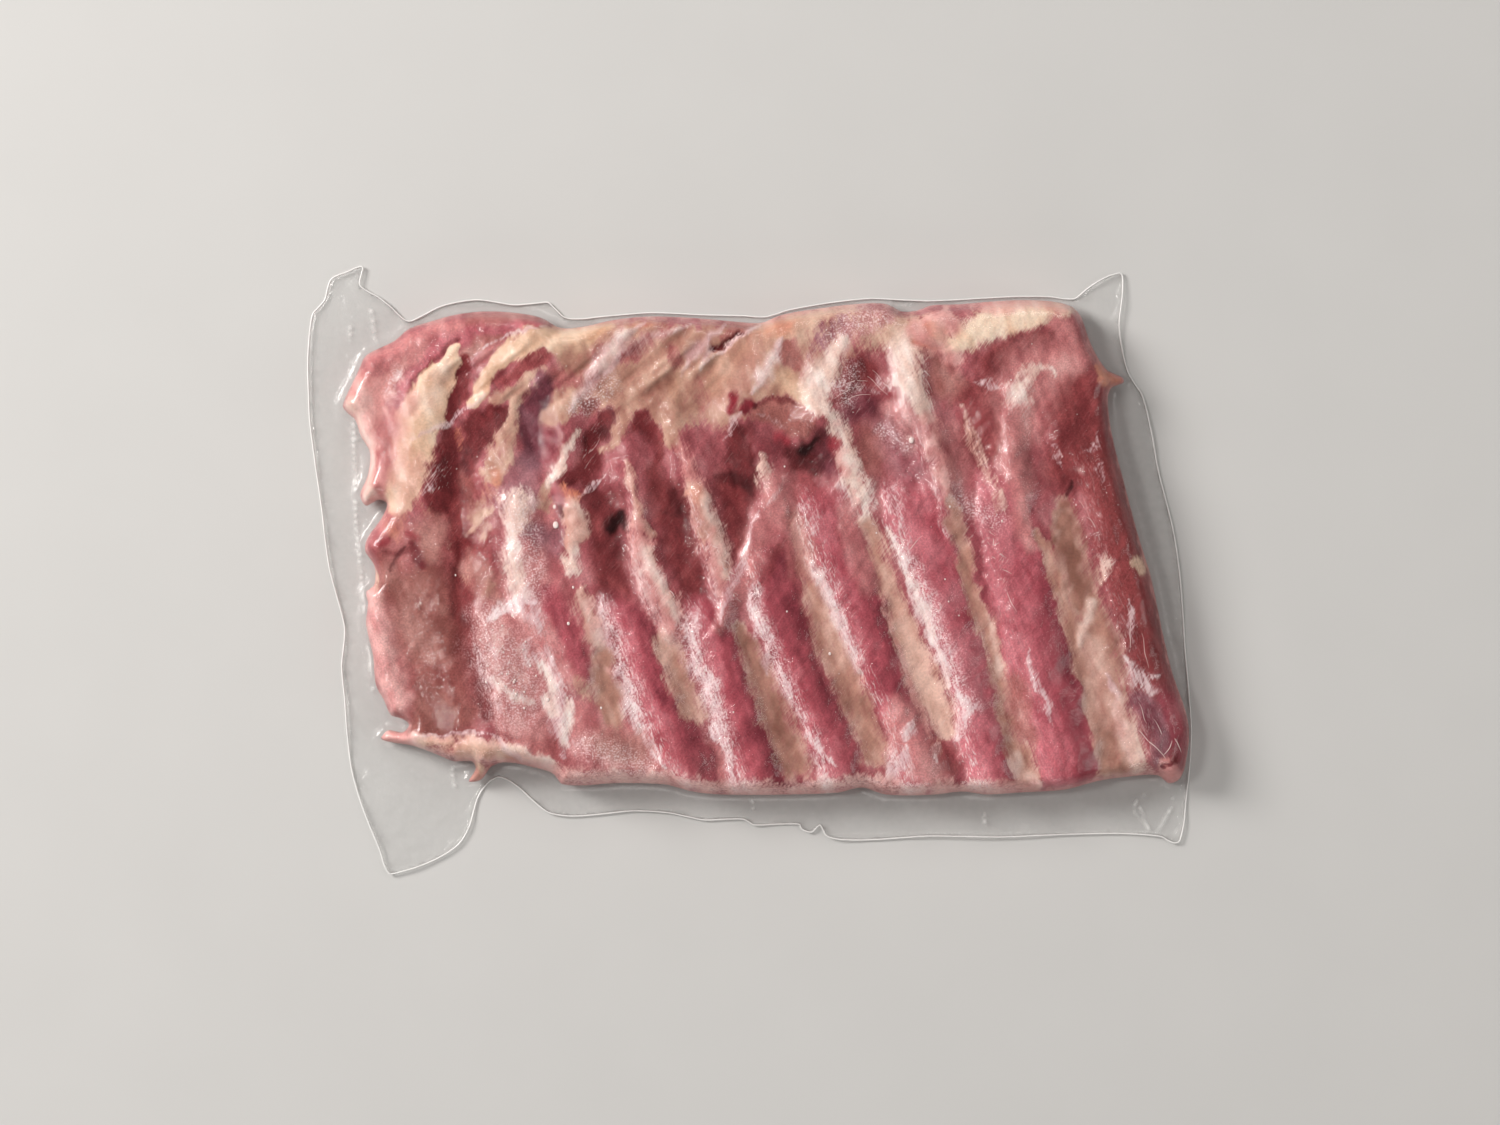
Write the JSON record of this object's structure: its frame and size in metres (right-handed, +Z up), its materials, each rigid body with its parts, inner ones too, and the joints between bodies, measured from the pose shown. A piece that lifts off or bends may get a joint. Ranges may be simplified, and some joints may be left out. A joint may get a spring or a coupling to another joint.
{
  "type": "pack of pork ribs",
  "caption": "Slab of raw pork spare ribs, inner side up, gripped by a clear flat vacuum pouch with a ragged film margin; lies flat.",
  "frame": {"origin": "on the resting plane, under the middle of the pack's box", "axes": "+X along the pack's long side, across the ribs; +Z up, out of the side that shows"},
  "size_m": [0.4414, 0.3033, 0.0299],
  "materials": {
    "pork": "wet raw pork under clear film",
    "film": "clear glossy plastic film"
  },
  "bodies": {
    "root": {"sealed_pack": "pork"}
  },
  "joints": []
}
